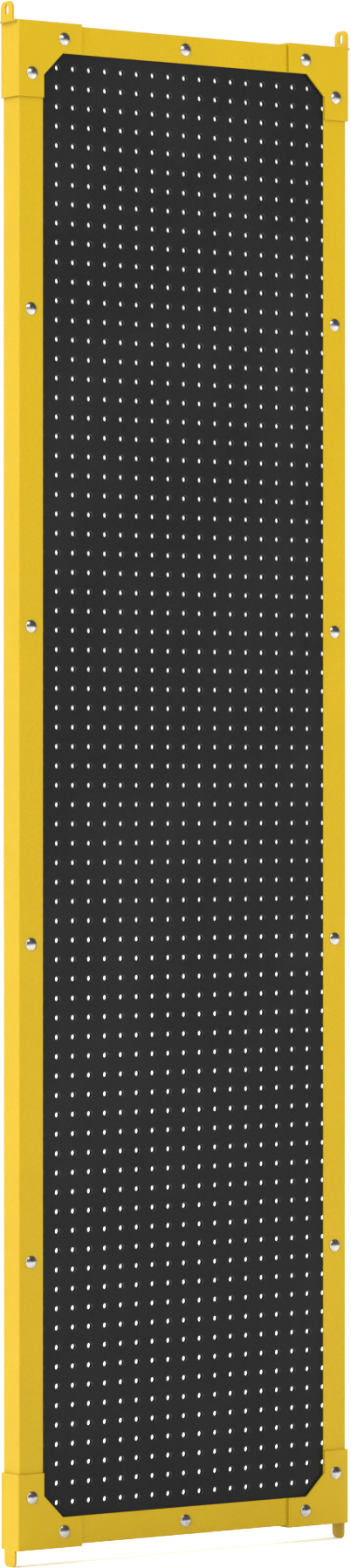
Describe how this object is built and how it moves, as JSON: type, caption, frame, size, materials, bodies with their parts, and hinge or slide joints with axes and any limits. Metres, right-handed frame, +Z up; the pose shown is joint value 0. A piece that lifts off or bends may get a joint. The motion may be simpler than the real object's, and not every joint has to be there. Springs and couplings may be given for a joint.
{
  "type": "framed pegboard panel",
  "caption": "Tall perforated board bolted into a folded sheet-metal frame, with corner brackets, slotted top lugs and bottom tongues for fixing it upright.",
  "frame": {"origin": "middle of the whole part's bounding box, which is the middle of the board to within 2 mm in height", "axes": "+Z up along the posts, +X to the right seen from the front, -Y out of the front with the bolt heads"},
  "size_m": [0.5448, 0.0454, 2.0446],
  "materials": {
    "frame_paint": "satin yellow powder coat with a fine texture",
    "bracket_paint": "satin yellow powder coat with a fine texture",
    "board": "matt black with a fine grain, drilled with plain holes",
    "bolt_steel": "plain bright steel, lightly turned",
    "zinc_steel": "zinc plated"
  },
  "bodies": {
    "root": {"left_post": "frame_paint", "right_post": "frame_paint", "top_rail": "frame_paint", "bottom_rail": "frame_paint", "top_left_bracket": "bracket_paint", "top_right_bracket": "bracket_paint", "bottom_left_bracket": "bracket_paint", "bottom_right_bracket": "bracket_paint", "lower_peg_panel": "board", "upper_peg_panel": "board", "left_post_bolts": "bolt_steel", "right_post_bolts": "bolt_steel", "rail_bolts": "bolt_steel", "bracket_bolts": "bolt_steel", "left_post_washers": "zinc_steel", "right_post_washers": "zinc_steel", "rail_washers": "zinc_steel", "bracket_washers": "zinc_steel", "left_post_nuts": "zinc_steel", "right_post_nuts": "zinc_steel", "rail_nuts": "zinc_steel", "bracket_nuts": "zinc_steel"}
  },
  "joints": []
}
